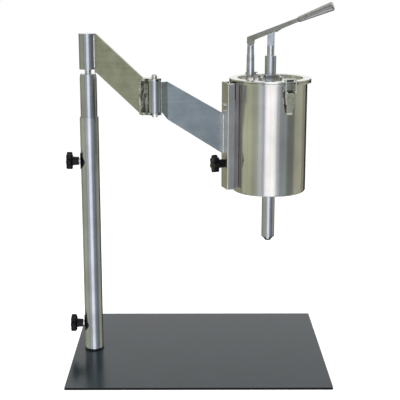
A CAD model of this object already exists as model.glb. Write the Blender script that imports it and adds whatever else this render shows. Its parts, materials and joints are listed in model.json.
import json
import math
import random

import bmesh
import bpy
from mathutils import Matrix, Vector


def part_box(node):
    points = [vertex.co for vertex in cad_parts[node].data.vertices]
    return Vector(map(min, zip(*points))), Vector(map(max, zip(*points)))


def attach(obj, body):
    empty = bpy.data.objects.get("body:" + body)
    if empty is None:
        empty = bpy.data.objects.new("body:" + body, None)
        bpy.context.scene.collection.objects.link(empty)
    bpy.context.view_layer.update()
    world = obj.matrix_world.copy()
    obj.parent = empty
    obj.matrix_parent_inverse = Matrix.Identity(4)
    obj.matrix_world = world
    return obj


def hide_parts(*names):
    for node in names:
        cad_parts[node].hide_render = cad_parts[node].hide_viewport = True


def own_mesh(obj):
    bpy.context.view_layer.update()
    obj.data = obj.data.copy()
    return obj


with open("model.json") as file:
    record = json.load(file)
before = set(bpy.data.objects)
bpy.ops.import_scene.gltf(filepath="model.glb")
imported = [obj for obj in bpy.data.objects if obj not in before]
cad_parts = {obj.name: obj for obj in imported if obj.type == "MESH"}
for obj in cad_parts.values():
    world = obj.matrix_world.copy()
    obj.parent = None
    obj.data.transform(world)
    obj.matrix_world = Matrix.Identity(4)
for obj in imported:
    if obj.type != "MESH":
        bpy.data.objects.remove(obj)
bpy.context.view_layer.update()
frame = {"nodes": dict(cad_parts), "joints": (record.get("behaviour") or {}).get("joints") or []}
nodes = frame["nodes"]
jointNamed = {joint["name"]: joint for joint in frame["joints"]}
random.seed(11)
print("frame loaded:", len(nodes), "nodes")


# Where things are, read from the frame

def middle(node):
    low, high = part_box(node)
    return (low + high) / 2


def flat(point):
    return Vector((point.x, point.y, 0))


columnAxis = flat(middle("column_tube"))
elbowAxis = flat(middle("elbow_sleeve"))
containerAxis = flat(middle("outlet_tube"))
upperDirection = (elbowAxis - columnAxis).normalized()
lowerDirection = (containerAxis - elbowAxis).normalized()
upwards = Vector((0, 0, 1))


def sideOf(direction):
    return upwards.cross(direction)  # a quarter turn to the left, seen from above


# Small helpers

def toLinear(hexText):
    parts = [int(hexText[i:i + 2], 16) / 255 for i in (1, 3, 5)]
    return tuple(c / 12.92 if c <= 0.04045 else ((c + 0.055) / 1.055) ** 2.4 for c in parts) + (1.0,)


def addNode(tree, kind, settings=None, links=None):
    node = tree.nodes.new(kind)
    for name, value in (settings or {}).items():
        if isinstance(name, int) or name in node.inputs:
            node.inputs[name].default_value = value
        else:
            setattr(node, name, value)
    for name, source in (links or {}).items():
        tree.links.new(source, node.inputs[name])
    return node


def bareMaterial(name):
    material = bpy.data.materials.new(name)
    material.use_nodes = True
    material.node_tree.nodes.clear()
    return material, material.node_tree


def startMaterial(name):
    material, tree = bareMaterial(name)
    shader = addNode(tree, "ShaderNodeBsdfPrincipled")
    addNode(tree, "ShaderNodeOutputMaterial", links={"Surface": shader.outputs["BSDF"]})
    place = addNode(tree, "ShaderNodeTexCoord").outputs["Object"]
    return material, tree, shader, place


def noiseOf(tree, place, size, detail):  # patches about so many millimetres wide
    settings = {"Scale": 1000 / size, "Detail": detail}
    return addNode(tree, "ShaderNodeTexNoise", settings, {"Vector": place}).outputs[0]


def spreadOf(tree, noise, low, high):  # the part of the noise that occurs often, stretched over low to high
    settings = {"From Min": 0.3, "From Max": 0.7, "To Min": low, "To Max": high}
    return addNode(tree, "ShaderNodeMapRange", settings, {"Value": noise}).outputs[0]


def addRelief(tree, shader, height, strength, depth):
    bump = addNode(tree, "ShaderNodeBump", {"Strength": strength, "Distance": depth}, {"Height": height})
    tree.links.new(bump.outputs[0], shader.inputs["Normal"])


def blendOf(tree, factor, first, second, low, high):
    ramp = addNode(tree, "ShaderNodeMapRange", {"From Min": low, "From Max": high}, {"Value": factor})
    mix = addNode(tree, "ShaderNodeMix", {"data_type": "RGBA"}, {0: ramp.outputs[0]})
    mix.inputs[6].default_value, mix.inputs[7].default_value = toLinear(first), toLinear(second)
    return mix.outputs[2]


def meshObject(name, build, material, smoothAngle=40):
    mesh = bpy.data.meshes.new(name)
    shape = bmesh.new()
    build(shape)
    bmesh.ops.recalc_face_normals(shape, faces=shape.faces)
    shape.to_mesh(mesh)
    shape.free()
    piece = bpy.data.objects.new(name, mesh)
    bpy.context.scene.collection.objects.link(piece)
    mesh.materials.append(material)
    for face in mesh.polygons:
        face.use_smooth = True
    mesh.set_sharp_from_angle(angle=math.radians(smoothAngle))
    return piece


def ringAround(mesh, centre, first, second, radius, steps):
    return [mesh.verts.new(centre + radius * (first * math.cos(t) + second * math.sin(t)))
            for t in (2 * math.pi * k / steps for k in range(steps))]


def skinBetween(mesh, loops, closed=False):
    pairs = list(zip(loops, loops[1:])) + ([(loops[-1], loops[0])] if closed else [])
    for lower, upper in pairs:
        for k in range(len(lower)):
            n = (k + 1) % len(lower)
            mesh.faces.new((lower[k], lower[n], upper[n], upper[k]))
    if not closed:
        mesh.faces.new(loops[0])
        mesh.faces.new(loops[-1])


# Materials

# Stainless steel 1.4301, ground or brushed: a grey metal with fine parallel scratches that smear what it
# mirrors into long soft bands. Sizes in millimetres.
def groundStainless(name, look):
    material, tree, shader, place = startMaterial(name)
    turned = addNode(tree, "ShaderNodeMapping", {"Rotation": (0, 0, look["turn"])}, {"Vector": place}).outputs[0]
    across = [1000 / look["grain"] if axis in look["acrossAxes"] else 1000 / look["grainLength"] for axis in "xyz"]
    stretched = addNode(tree, "ShaderNodeMapping", {"Scale": across}, {"Vector": turned}).outputs[0]
    scratches = addNode(tree, "ShaderNodeTexNoise", {"Scale": 1.0, "Detail": 4.0, "Roughness": 0.65},
                        {"Vector": stretched}).outputs[0]
    broad = [value * look["grain"] / look["streak"] for value in across]
    streaked = addNode(tree, "ShaderNodeMapping", {"Scale": broad}, {"Vector": turned}).outputs[0]
    streaks = addNode(tree, "ShaderNodeTexNoise", {"Scale": 1.0, "Detail": 2.0}, {"Vector": streaked}).outputs[0]
    patches = noiseOf(tree, place, look["patch"], 3.0)
    both = addNode(tree, "ShaderNodeMath", {"operation": "MULTIPLY_ADD", 1: 0.5}, {0: streaks, 2: patches}).outputs[0]
    tint = blendOf(tree, both, look["dark"], look["light"], *look.get("between", (0.45, 1.05)))
    tree.links.new(tint, shader.inputs["Base Color"])
    dull = spreadOf(tree, scratches, look["rough"] - look["roughSpread"], look["rough"] + look["roughSpread"])
    tree.links.new(dull, shader.inputs["Roughness"])
    addRelief(tree, shader, scratches, look["relief"], 0.0001)
    shader.inputs["Metallic"].default_value = 1.0
    return material


upperTurn = -math.atan2(upperDirection.y, upperDirection.x)
lowerTurn = -math.atan2(lowerDirection.y, lowerDirection.x)

# Welded tube, brushed along its length: clean upright bands of light with faint upright streaks.
tubeSteel = groundStainless("stainless_tube_brushed_lengthwise", {
    "dark": "#a6a9ae", "light": "#c0c3ca", "rough": 0.22, "roughSpread": 0.04, "relief": 0.02,
    "grain": 0.5, "grainLength": 60, "acrossAxes": "xy", "streak": 5.0, "patch": 60, "turn": 0})
# The slimmer tubes above, polished after brushing: darker flanks and a crisper line of light.
slimTubeSteel = groundStainless("stainless_tube_polished_lengthwise", {
    "dark": "#969a9d", "light": "#b2b6bc", "rough": 0.13, "roughSpread": 0.03, "relief": 0.02,
    "grain": 0.5, "grainLength": 60, "acrossAxes": "xy", "streak": 5.0, "patch": 60, "turn": 0})
# Pot sheet with an outside brushed from rim to foot: softer bands and upright streaks.
potSteel = groundStainless("stainless_pot_sheet_brushed", {
    "dark": "#b4b3ac", "light": "#d6d5d0", "rough": 0.18, "roughSpread": 0.04, "relief": 0.02,
    "grain": 0.5, "grainLength": 90, "acrossAxes": "xy", "streak": 9.0, "patch": 90, "turn": 0})
# Laser-cut arm plates, belt ground along their length: dull, slightly cloudy, greenish grey.
upperPlateSteel = groundStainless("stainless_plate_belt_ground_upper", {
    "dark": "#9d9e92", "light": "#bcbdb1", "rough": 0.38, "roughSpread": 0.05, "relief": 0.05,
    "grain": 0.6, "grainLength": 60, "acrossAxes": "z", "streak": 5.0, "patch": 22, "turn": upperTurn})
lowerPlateSteel = groundStainless("stainless_plate_belt_ground_lower", {
    "dark": "#9da5a9", "light": "#b9c2c7", "rough": 0.34, "roughSpread": 0.05, "relief": 0.05,
    "grain": 0.6, "grainLength": 60, "acrossAxes": "z", "streak": 5.0, "patch": 26, "turn": lowerTurn})
# The clevis, bent from thick strip and buffed by hand: bright rims and a blotchy hollow.
clevisSteel = groundStainless("stainless_clevis_buffed", {
    "dark": "#4c4e52", "light": "#fafaf8", "rough": 0.20, "roughSpread": 0.08, "relief": 0.30,
    "grain": 4.0, "grainLength": 9, "acrossAxes": "xy", "streak": 6.0, "patch": 11, "turn": upperTurn,
    "between": (0.60, 0.94)})
# Folded channel, brushed along its height: straight upright scratches.
foldedSteel = groundStainless("stainless_folded_sheet_brushed", {
    "dark": "#a8a8a4", "light": "#c8c8c2", "rough": 0.30, "roughSpread": 0.05, "relief": 0.04,
    "grain": 0.6, "grainLength": 70, "acrossAxes": "x", "streak": 4.0, "patch": 40, "turn": lowerTurn})
# The rail box, left as it came from the bending press: duller, with a warm oxide tint.
railSteel = groundStainless("stainless_rail_box_pickled", {
    "dark": "#928c8d", "light": "#b0aaab", "rough": 0.36, "roughSpread": 0.05, "relief": 0.04,
    "grain": 0.6, "grainLength": 70, "acrossAxes": "x", "streak": 4.0, "patch": 30, "turn": lowerTurn})
# The latches' bases and catches, stamped from thin sheet and tumbled: darker still.
stampedSteel = groundStainless("stainless_stamping_tumbled", {
    "dark": "#545254", "light": "#7a787a", "rough": 0.34, "roughSpread": 0.06, "relief": 0.04,
    "grain": 0.6, "grainLength": 20, "acrossAxes": "x", "streak": 4.0, "patch": 8, "turn": lowerTurn})
# Lid pressed from the same sheet, polished brighter on top.
lidSteel = groundStainless("stainless_lid_pressed_bright", {
    "dark": "#d2d2cc", "light": "#eaeae6", "rough": 0.20, "roughSpread": 0.05, "relief": 0.03,
    "grain": 0.6, "grainLength": 90, "acrossAxes": "y", "streak": 3.0, "patch": 50, "turn": lowerTurn})


# Turned or polished stainless: bright, with faint lathe rings a few millimetres apart.
def turnedStainless(name, look):
    material, tree, shader, place = startMaterial(name)
    radiansPerUnit = 20  # how Blender's wave texture counts
    rings = addNode(tree, "ShaderNodeTexWave",
                    {"wave_type": "BANDS", "bands_direction": look["axis"],
                     "Scale": 1000 / look["feed"] / radiansPerUnit, "Distortion": 0.6, "Detail": 2.0},
                    {"Vector": place})
    smudges = noiseOf(tree, place, look["patch"], 4.0)
    tint = blendOf(tree, smudges, look["dark"], look["light"], 0.3, 0.7)
    tree.links.new(tint, shader.inputs["Base Color"])
    dull = spreadOf(tree, smudges, look["rough"] - 0.04, look["rough"] + 0.06)
    tree.links.new(dull, shader.inputs["Roughness"])
    addRelief(tree, shader, rings.outputs[1], look["relief"], 0.00005)
    shader.inputs["Metallic"].default_value = 1.0
    return material


turnedSteel = turnedStainless("stainless_bar_turned", {
    "dark": "#aeb1b8", "light": "#cacdd4", "rough": 0.10, "relief": 0.04, "feed": 0.4, "axis": "Z", "patch": 12})
polishedSteel = turnedStainless("stainless_polished", {
    "dark": "#bcbcb8", "light": "#d6d6d4", "rough": 0.09, "relief": 0.02, "feed": 0.3, "axis": "Z", "patch": 9})
leverSteel = turnedStainless("stainless_lever_satin", {
    "dark": "#8a8a82", "light": "#a8a8a0", "rough": 0.30, "relief": 0.05, "feed": 0.5, "axis": "X", "patch": 14})
gripSteel = turnedStainless("stainless_grip_satin", {
    "dark": "#8c8c8a", "light": "#acacaa", "rough": 0.12, "relief": 0.04, "feed": 0.4, "axis": "X", "patch": 10})
latchSteel = turnedStainless("stainless_latch_pressed", {
    "dark": "#d2d2c2", "light": "#eeeee0", "rough": 0.40, "relief": 0.02, "feed": 0.5, "axis": "Z", "patch": 9})


# Arc weld, brushed off: a rippled bead that glints on each ripple, or one left with its brown oxide.
def weldSteel(name, look):
    material, tree, shader, place = startMaterial(name)
    heat = noiseOf(tree, place, look["patch"], 3.0)
    tree.links.new(blendOf(tree, heat, look["dark"], look["light"], 0.3, 0.7), shader.inputs["Base Color"])
    addRelief(tree, shader, heat, 0.3, 0.0002)
    shader.inputs["Metallic"].default_value = 1.0
    shader.inputs["Roughness"].default_value = look["rough"]
    return material


beadSteel = weldSteel("stainless_weld_bead_brushed", {"dark": "#b8b6b2", "light": "#f0eeea", "rough": 0.22, "patch": 3})
oxideSteel = weldSteel("stainless_weld_bead_oxide", {"dark": "#3c3835", "light": "#5c5650", "rough": 0.45, "patch": 3})


# Polyester powder coat on steel plate: charcoal, with a fine orange-peel that breaks the sheen. On the
# cut edge the coat is thinner and the scale below shows, so that the rim is nearly black and dull.
def powderCoat(name, look):
    material, tree, shader, place = startMaterial(name)
    peel = noiseOf(tree, place, look["peel"], 3.0)
    dust = noiseOf(tree, place, look["dust"], 5.0)
    facing = addNode(tree, "ShaderNodeNewGeometry").outputs["True Normal"]
    upright = addNode(tree, "ShaderNodeSeparateXYZ", links={"Vector": facing}).outputs["Z"]
    flatness = addNode(tree, "ShaderNodeMath", {"operation": "ABSOLUTE"}, {0: upright}).outputs[0]
    tint = addNode(tree, "ShaderNodeMix", {"data_type": "RGBA"}, {
        0: flatness, 7: blendOf(tree, dust, look["dark"], look["light"], 0.3, 0.7)})
    tint.inputs[6].default_value = toLinear(look["edge"])
    tree.links.new(tint.outputs[2], shader.inputs["Base Color"])
    dull = spreadOf(tree, dust, look["rough"] - 0.02, look["rough"] + 0.02)
    edgeDull = addNode(tree, "ShaderNodeMapRange", {"To Min": look["edgeRough"]}, {"Value": flatness, "To Max": dull})
    tree.links.new(edgeDull.outputs[0], shader.inputs["Roughness"])
    addRelief(tree, shader, peel, look["relief"], 0.0002)
    shader.inputs["IOR"].default_value = 1.5
    shader.inputs["Specular IOR Level"].default_value = look["sheen"]
    return material


coatedPlate = powderCoat("polyester_powder_coat_charcoal", {
    "dark": "#141f23", "light": "#1c292f", "edge": "#08090a", "rough": 0.21, "edgeRough": 0.8, "sheen": 0.33,
    "peel": 1.4, "dust": 90, "relief": 0.12})


# Moulded plastics and rubbers: a fine grain from the mould, and worn patches.
def moulded(name, look):
    material, tree, shader, place = startMaterial(name)
    grain = addNode(tree, "ShaderNodeTexVoronoi", {"Scale": 1000 / look["grain"]}, {"Vector": place}).outputs[0]
    wear = noiseOf(tree, place, look["wear"], 4.0)
    tree.links.new(blendOf(tree, wear, look["dark"], look["light"], 0.35, 0.75), shader.inputs["Base Color"])
    addRelief(tree, shader, grain, 0.2, 0.0001)
    shader.inputs["Roughness"].default_value = look["rough"]
    shader.inputs["IOR"].default_value = 1.53
    shader.inputs["Specular IOR Level"].default_value = look["sheen"]
    return material


# Glass-filled polyamide of the knobs: black, catches light on its edges.
blackPolyamide = moulded("polyamide_moulded_black", {
    "dark": "#020308", "light": "#080a10", "rough": 0.24, "sheen": 0.16, "grain": 0.8, "wear": 8})
blackRubber = moulded("nitrile_rubber_moulded", {
    "dark": "#0e0e0e", "light": "#1c1c1c", "rough": 0.65, "sheen": 0.3, "grain": 0.6, "wear": 6})
greySilicone = moulded("silicone_rubber_moulded", {
    "dark": "#3e3f42", "light": "#515256", "rough": 0.50, "sheen": 0.4, "grain": 0.6, "wear": 6})
whiteNylon = moulded("polyamide_natural_turned", {
    "dark": "#d8d3c2", "light": "#ebe7da", "rough": 0.40, "sheen": 0.5, "grain": 0.7, "wear": 8})

finishOf = {
    coatedPlate: ["base_plate"],
    tubeSteel: ["column_tube", "outlet_tube", "column_spigot", "clamp_bosses", "guide_sleeve"],
    slimTubeSteel: ["mast_tube", "mast_cap", "swivel_sleeve", "elbow_sleeve"],
    potSteel: ["container_shell", "container_flange", "pump_cylinder"],
    upperPlateSteel: ["upper_arm_plate"],
    clevisSteel: ["elbow_clevis"],
    lowerPlateSteel: ["lower_arm_plate"],
    foldedSteel: ["holder_channel", "hanger_block"],
    railSteel: ["hanging_rail"],
    stampedSteel: ["latch_bases", "latch_catches"],
    lidSteel: ["lid_plate"],
    turnedSteel: ["swivel_pin", "pivot_post", "guide_base", "nozzle_tip", "valve_guide", "piston_rod", "tie_rods",
                  "upper_knob_stud", "lower_knob_stud", "holder_knob_stud"],
    polishedSteel: ["spigot_screw", "elbow_bolt", "elbow_nut", "hanger_screws", "lid_nuts",
                    "valve_spring", "return_spring", "latch_loop_front", "latch_loop_rear"],
    latchSteel: ["latch_lever_front", "latch_lever_rear"],
    leverSteel: ["lever_bar", "lever_pins"],
    gripSteel: ["lever_grip"],
    blackPolyamide: ["foot_ring", "saddle_pads", "upper_knob_head", "lower_knob_head", "holder_knob_head"],
    blackRubber: ["lid_gasket", "piston_seals"],
    greySilicone: ["valve_plug"],
    whiteNylon: ["swivel_bearings", "elbow_bushes", "guide_bush", "piston"],
}
for material, names in finishOf.items():
    for name in names:
        nodes[name].data.materials.clear()
        nodes[name].data.materials.append(material)
print("materials set on", sum(len(names) for names in finishOf.values()), "nodes")


# Star knobs: rounder than the solids they stand for

knobShape = {"lobes": 7, "lobeRadius": 0.0205, "valleyRadius": 0.0150, "lobeSharpness": 0.7, "edgeRound": 0.0022,
             "edgeSteps": 4, "headShare": 0.455, "hubRadius": 0.0098, "flare": 0.0030, "faceDish": 0.0010,
             "capRadius": 0.0065, "stepsRound": 112}


def starKnob(name, node, joint, body):
    shape = knobShape
    outwards = Vector(jointNamed[joint]["axis"]).normalized()
    start = Vector(jointNamed[joint]["pos_m"])
    along = [(v.co - start).dot(outwards) for v in nodes[node].data.vertices]
    near, length = min(along), max(along) - min(along)
    headStart = length - length * shape["headShare"]
    turn = outwards.to_track_quat("Z", "Y").to_matrix()
    hub, edge, face = shape["hubRadius"], shape["edgeRound"], length - shape["faceDish"]

    def plain(radius):
        return lambda angle: radius

    def lobed(inset):
        def radiusAt(angle):
            wave = 0.5 + 0.5 * math.cos(shape["lobes"] * angle)
            swing = (shape["lobeRadius"] - shape["valleyRadius"]) * wave ** shape["lobeSharpness"]
            return shape["valleyRadius"] + swing - inset
        return radiusAt

    bends = [math.radians(90 * step / shape["edgeSteps"]) for step in range(shape["edgeSteps"] + 1)]
    rings = [(0, plain(hub - 0.0010)), (0.0006, plain(hub - 0.0004)), (headStart * 0.6, plain(hub)),
             (headStart - 0.0015, plain(hub + 0.0006)), (headStart, plain(hub + shape["flare"]))]  # height, radius
    rings += [(headStart + edge * (1 - math.cos(bend)), lobed(edge * (1 - math.sin(bend)))) for bend in bends]
    rings += [(length - edge * (1 - math.sin(bend)), lobed(edge * (1 - math.cos(bend)))) for bend in bends]
    rings += [(face, plain(shape["valleyRadius"] * 0.75)), (face, plain(shape["capRadius"] + 0.0006)),
              (length - 0.0002, plain(shape["capRadius"])), (length - 0.0001, plain(shape["capRadius"] * 0.5))]

    def build(mesh):
        loops = []
        for height, radiusAt in rings:
            loop = []
            for i in range(shape["stepsRound"]):
                angle = 2 * math.pi * i / shape["stepsRound"]
                radius = radiusAt(angle)
                point = Vector((radius * math.cos(angle), radius * math.sin(angle), height))
                loop.append(mesh.verts.new(start + outwards * near + turn @ point))
            loops.append(loop)
        skinBetween(mesh, loops)

    piece = meshObject(name, build, blackPolyamide, 35)
    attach(piece, body)
    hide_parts(node)


starKnob("upper_star_knob", "upper_knob_head", "upper_knob_turn", "upper_knob")
starKnob("lower_star_knob", "lower_knob_head", "lower_knob_turn", "lower_knob")
starKnob("holder_star_knob", "holder_knob_head", "holder_knob_turn", "holder_knob")
print("knobs made")


# Springs: round wire with closed ends, shortened as far as their joint travels

springs = {
    "return_coil": {"node": "return_spring", "joint": "piston_slide", "wire": 0.0018, "turns": 8},
    "valve_coil": {"node": "valve_spring", "joint": "valve_open", "wire": 0.0010, "turns": 7},
}
springDetail = {"stepsPerTurn": 32, "stepsRound": 10}


def coilSpring(name, look):
    low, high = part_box(look["node"])
    centre, wireHalf = (low + high) / 2, look["wire"] / 2
    coilRadius = (high.x - low.x) / 2 - wireHalf
    bottom, rise = low.z + wireHalf, high.z - low.z - look["wire"]
    steps = look["turns"] * springDetail["stepsPerTurn"]

    def heightAt(turn):
        if turn < 1:
            return look["wire"] * turn
        if turn > look["turns"] - 1:
            return rise - look["wire"] * (look["turns"] - turn)
        return look["wire"] + (rise - 2 * look["wire"]) * (turn - 1) / (look["turns"] - 2)

    def build(mesh):
        loops = []
        for i in range(steps + 1):
            turn = i / springDetail["stepsPerTurn"]
            outwards = Vector((math.cos(2 * math.pi * turn), math.sin(2 * math.pi * turn), 0))
            point = Vector((centre.x, centre.y, bottom + heightAt(turn))) + outwards * coilRadius
            loops.append(ringAround(mesh, point, outwards, upwards, wireHalf, springDetail["stepsRound"]))
        skinBetween(mesh, loops)

    piece = meshObject(name, build, polishedSteel, 60)
    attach(piece, "container")
    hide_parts(look["node"])
    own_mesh(piece)


for name, look in springs.items():
    coilSpring(name, look)
print("springs made")


# Weld beads

beadShape = {"ripple": 0.0016, "rippleDepth": 0.16, "unevenness": 0.06, "stepsRound": 8}


# A rippled half-buried bead along a path; a closed path runs back to its start.
def weldBead(name, points, radius, body, closed=False, finish=beadSteel):
    dense = []
    count = len(points) if closed else len(points) - 1
    for i in range(count):
        a, b = points[i], points[(i + 1) % len(points)]
        steps = max(2, int((b - a).length / (beadShape["ripple"] / 2)))
        dense += [a.lerp(b, k / steps) for k in range(steps)]
    if not closed:
        dense.append(points[-1])

    def build(mesh):
        loops = []
        total = len(dense)
        for i, point in enumerate(dense):
            ahead = dense[(i + 1) % total] if closed else dense[min(i + 1, total - 1)]
            behind = dense[(i - 1) % total] if closed else dense[max(i - 1, 0)]
            along = (ahead - behind).normalized()
            first = along.orthogonal().normalized() if abs(along.z) > 0.9 else along.cross(upwards).normalized()
            second = along.cross(first)
            uneven = random.uniform(-beadShape["unevenness"], beadShape["unevenness"])
            swell = 1 - beadShape["rippleDepth"] * (i % 2) + uneven
            if not closed:
                swell *= min(1, 0.35 + 0.3 * min(i, total - 1 - i))  # tapers off at both ends
            loops.append(ringAround(mesh, point, first, second, radius * swell, beadShape["stepsRound"]))
        skinBetween(mesh, loops, closed)

    piece = meshObject(name, build, finish, 70)
    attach(piece, body)


def ringPath(centre, radius, height, steps=48):
    return [centre + Vector((radius * math.cos(t), radius * math.sin(t), height))
            for t in (2 * math.pi * k / steps for k in range(steps))]


def uprightSeam(name, foot, low, high, radius, body, finish=beadSteel):
    weldBead(name, [foot + upwards * low, foot + upwards * high], radius, body, finish=finish)


seams = {"light": 0.0017, "heavy": 0.0027, "outlet": 0.0014, "rail": 0.0013, "plateHalf": 0.0025,
         "endGap": 0.003, "shortEndGap": 0.002}
atEnd = 0.001  # how near to a plate's end its corners count as lying there
swivelLow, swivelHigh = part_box("swivel_sleeve")
swivelRadius = (swivelHigh.x - swivelLow.x) / 2
elbowLow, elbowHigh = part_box("elbow_sleeve")
elbowRadius = (elbowHigh.x - elbowLow.x) / 2
clevisLow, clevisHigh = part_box("elbow_clevis")


def alongPoints(node, origin, direction):
    return [((v.co - origin).dot(direction), (v.co - origin).dot(sideOf(direction)), v.co.z)
            for v in nodes[node].data.vertices]


def reach(points, axis, pick, where=lambda p: True):
    return pick(p[axis] for p in points if where(p))


upperPoints = alongPoints("upper_arm_plate", columnAxis, upperDirection)
upperEnd = reach(upperPoints, 0, max)
upperEndLow = reach(upperPoints, 2, min, lambda p: p[0] > upperEnd - atEnd)
lowerPoints = alongPoints("lower_arm_plate", elbowAxis, lowerDirection)
lowerEnd = reach(lowerPoints, 0, max)
lowerEndLow = reach(lowerPoints, 2, min, lambda p: p[0] > lowerEnd - atEnd)
lowerEndHigh = reach(lowerPoints, 2, max, lambda p: p[0] > lowerEnd - atEnd)
lowerEndNear = reach(lowerPoints, 1, min, lambda p: p[0] > lowerEnd - atEnd)
lowerEndFar = reach(lowerPoints, 1, max, lambda p: p[0] > lowerEnd - atEnd)
lowerStartHigh = reach(lowerPoints, 2, max)
lowerStartLow = reach(lowerPoints, 2, min, lambda p: p[0] < elbowRadius + atEnd)

for word, hand in (("near", -1), ("far", 1)):
    half, gap, shortGap = seams["plateHalf"], seams["endGap"], seams["shortEndGap"]
    side = sideOf(upperDirection) * hand * half
    uprightSeam("weld_swivel_" + word, columnAxis + upperDirection * math.sqrt(swivelRadius ** 2 - half ** 2) + side,
                swivelLow.z + gap, swivelHigh.z - gap, seams["heavy"], "upper_arm")
    uprightSeam("weld_clevis_" + word, columnAxis + upperDirection * upperEnd + side,
                max(upperEndLow, clevisLow.z) + gap, clevisHigh.z - gap, seams["heavy"], "upper_arm")
    side = sideOf(lowerDirection) * hand * half
    uprightSeam("weld_elbow_" + word, elbowAxis + lowerDirection * math.sqrt(elbowRadius ** 2 - half ** 2) + side,
                lowerStartLow + shortGap, lowerStartHigh - shortGap, seams["light"], "lower_arm")
    place = lowerEndNear if hand < 0 else lowerEndFar
    uprightSeam("weld_web_" + word, elbowAxis + lowerDirection * lowerEnd + sideOf(lowerDirection) * place,
                lowerEndLow + shortGap, lowerEndHigh - shortGap, seams["light"], "lower_arm")

shellLow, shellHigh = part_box("container_shell")
shellRadius = (shellHigh.x - shellLow.x) / 2
tubeLow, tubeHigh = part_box("outlet_tube")
tubeRadius = (tubeHigh.x - tubeLow.x) / 2
weldBead("weld_outlet", ringPath(containerAxis, tubeRadius, shellLow.z), seams["outlet"], "container", closed=True)
railPoints = alongPoints("hanging_rail", containerAxis, -lowerDirection)
railHalf = reach(railPoints, 1, max)
railLow, railHigh = reach(railPoints, 2, min), reach(railPoints, 2, max)
for word, hand in (("near", 1), ("far", -1)):
    foot = (containerAxis - lowerDirection * math.sqrt(shellRadius ** 2 - railHalf ** 2)
            + sideOf(-lowerDirection) * hand * railHalf)
    uprightSeam("weld_rail_" + word, foot, railLow + seams["endGap"], railHigh - seams["endGap"], seams["rail"],
                "container", oxideSteel)
print("weld beads made")


# Floor, light and camera

studio = {"floorRadius": 20.0, "floorDrop": 0.0002, "paperTone": "#d9d9d9", "paperGlow": 0.62, "roomLight": 0.55,
          "roomWhite": 1.0}


def seenRays(tree):  # 1 where the camera sees the thing itself, in a mirror or through glass
    rays = addNode(tree, "ShaderNodeLightPath").outputs
    mirrored = addNode(tree, "ShaderNodeMath", {"operation": "MAXIMUM"},
                       {0: rays["Is Glossy Ray"], 1: rays["Is Transmission Ray"]}).outputs[0]
    return addNode(tree, "ShaderNodeMath", {"operation": "MAXIMUM"}, {0: rays["Is Camera Ray"], 1: mirrored}).outputs[0]


# White paper, lit from below as on a light table, so that it goes out white with only the object's shadow on it.
def paperMaterial():
    material, tree = bareMaterial("studio_paper_white")
    paint = addNode(tree, "ShaderNodeBsdfDiffuse", {"Color": toLinear(studio["paperTone"])})
    glow = addNode(tree, "ShaderNodeEmission", {"Color": (1, 1, 1, 1), "Strength": studio["paperGlow"]})
    lit = addNode(tree, "ShaderNodeAddShader", links={0: paint.outputs[0], 1: glow.outputs[0]})
    whole = addNode(tree, "ShaderNodeMixShader", links={0: seenRays(tree), 1: paint.outputs[0], 2: lit.outputs[0]})
    addNode(tree, "ShaderNodeOutputMaterial", links={"Surface": whole.outputs[0]})
    return material


def makeFloor():
    def build(mesh):
        mesh.faces.new(ringAround(mesh, -studio["floorDrop"] * upwards, Vector((1, 0, 0)), Vector((0, 1, 0)),
                                  studio["floorRadius"], 64))

    disc = meshObject("studio_floor", build, paperMaterial())
    return disc


floor = makeFloor()
floor.visible_glossy = False  # the steel mirrors the cards, which reach below the floor
nodes["base_plate"].visible_glossy = False  # so that the column's bright bands run down to its foot

# Cards and softboxes that show only in reflections. Bearings in degrees round the object, 0 towards the
# camera, right is positive; heights in metres.
cardRadius = 5.0
cards = {
    "flag_behind_left": {"from": -180, "to": -152, "low": -10.0, "high": 0.7, "tone": "#30302d", "level": 1.0},
    "wall_far_left": {"from": -152, "to": -105, "low": -10.0, "high": 3.0, "tone": "#b0b097", "level": 1.0},
    "wall_left": {"from": -105, "to": -60, "low": -10.0, "high": 5.0, "tone": "#d0d1b8", "level": 1.0},
    "wall_left_near": {"from": -60, "to": -37, "low": -10.0, "high": 5.0, "tone": "#bcc0b0", "level": 1.0},
    "softbox_left": {"from": -37, "to": -26, "low": -10.0, "high": 4.0, "tone": "#e6edf4", "level": 1.0},
    "stand_between": {"from": -26, "to": -16, "low": -10.0, "high": 4.0, "tone": "#b4b9ca", "level": 1.0},
    "softbox_front": {"from": -16, "to": 18, "low": -10.0, "high": 4.0, "tone": "#fbfaff", "level": 1.7},
    "softbox_edge": {"from": 18, "to": 28, "low": -10.0, "high": 4.0, "tone": "#cdd1dc", "level": 1.0},
    "wall_right_near": {"from": 28, "to": 52, "low": -10.0, "high": 5.0, "tone": "#a3abb1", "level": 1.0},
    "wall_right": {"from": 52, "to": 79, "low": -10.0, "high": 5.0, "tone": "#828883", "level": 1.0},
    "card_right": {"from": 79, "to": 116, "low": -10.0, "high": 3.0, "tone": "#c3c2b0", "level": 1.0},
    "wall_far_right": {"from": 116, "to": 136, "low": -10.0, "high": 3.0, "tone": "#9a9b8f", "level": 1.0},
    "flag_behind_right": {"from": 136, "to": 180, "low": -10.0, "high": 0.7, "tone": "#30302d", "level": 1.0},
}


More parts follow.
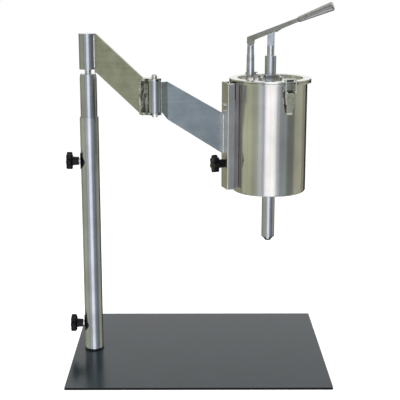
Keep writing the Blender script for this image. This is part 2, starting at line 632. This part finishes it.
def makeCard(name, setting):
    material, tree = bareMaterial("studio_" + name)
    glow = addNode(tree, "ShaderNodeEmission", {"Color": toLinear(setting["tone"]), "Strength": setting["level"]})
    addNode(tree, "ShaderNodeOutputMaterial", links={"Surface": glow.outputs[0]})

    def build(mesh):
        width = setting["to"] - setting["from"]
        steps = max(2, int(width / 4))  # a strip for every 4 degrees
        columns = []
        for i in range(steps + 1):
            bearing = math.radians(setting["from"] + width * i / steps)
            x, y = cardRadius * math.sin(bearing), -cardRadius * math.cos(bearing)
            columns.append((mesh.verts.new((x, y, setting["low"])), mesh.verts.new((x, y, setting["high"]))))
        for left, right in zip(columns, columns[1:]):
            mesh.faces.new((left[0], right[0], right[1], left[1]))

    card = meshObject("studio_" + name, build, material)
    card.visible_camera = card.visible_diffuse = card.visible_shadow = card.visible_transmission = False


for name, setting in cards.items():
    makeCard(name, setting)


def makeWorld():
    world = bpy.data.worlds.new("studio_white")
    bpy.context.scene.world = world
    world.use_nodes = True
    tree = world.node_tree
    tree.nodes.clear()
    room = addNode(tree, "ShaderNodeBackground", {"Color": (1, 1, 1, 1), "Strength": studio["roomLight"]})
    white = addNode(tree, "ShaderNodeBackground", {"Color": (1, 1, 1, 1), "Strength": studio["roomWhite"]})
    whole = addNode(tree, "ShaderNodeMixShader", links={0: seenRays(tree), 1: room.outputs[0], 2: white.outputs[0]})
    addNode(tree, "ShaderNodeOutputWorld", links={"Surface": whole.outputs[0]})


makeWorld()

lamps = {
    "key": {"place": (-1.3, -1.6, 2.2), "size": 1.2, "power": 26, "tone": "#ffffff"},
    "fill": {"place": (1.8, -1.4, 1.4), "size": 1.4, "power": 10, "tone": "#fdfdff"},
    "top": {"place": (0.1, 0.5, 2.6), "size": 1.6, "power": 18, "tone": "#ffffff"},
}
lampsAimAt = Vector((0, 0, 0.35))
for name, setting in lamps.items():
    data = bpy.data.lights.new("lamp_" + name, "AREA")
    data.shape, data.size, data.energy = "SQUARE", setting["size"], setting["power"]
    data.color = toLinear(setting["tone"])[:3]
    lamp = bpy.data.objects.new("lamp_" + name, data)
    lamp.location = setting["place"]
    lamp.rotation_euler = (lampsAimAt - lamp.location).to_track_quat("-Z", "Y").to_euler()
    lamp.visible_glossy = False
    bpy.context.scene.collection.objects.link(lamp)

# The view: fitted to where the plate, the column and the lid lie in the 400 x 400 picture. The photograph was
# taken level with a strongly shifted lens; this camera looks down instead, so that every view frames the stand.
view = {"place": (-0.0128, -2.1390, 0.8854), "down": 12.21, "turn": -0.23, "focalPixels": 953.8, "picture": 400,
        "shift": (0.0090, -0.06), "sensor": 36, "clip": (0.05, 100)}
cameraData = bpy.data.cameras.new("camera")
cameraData.sensor_width = view["sensor"]
cameraData.lens = view["focalPixels"] * cameraData.sensor_width / view["picture"]
cameraData.shift_x, cameraData.shift_y = view["shift"]
cameraData.clip_start, cameraData.clip_end = view["clip"]
camera = bpy.data.objects.new("camera", cameraData)
camera.location = view["place"]
camera.rotation_euler = (math.radians(90 - view["down"]), 0, math.radians(view["turn"]))
bpy.context.scene.collection.objects.link(camera)
bpy.context.scene.camera = camera
bpy.context.scene.view_settings.view_transform = "Standard"
print("floor, room, lamps and camera set")
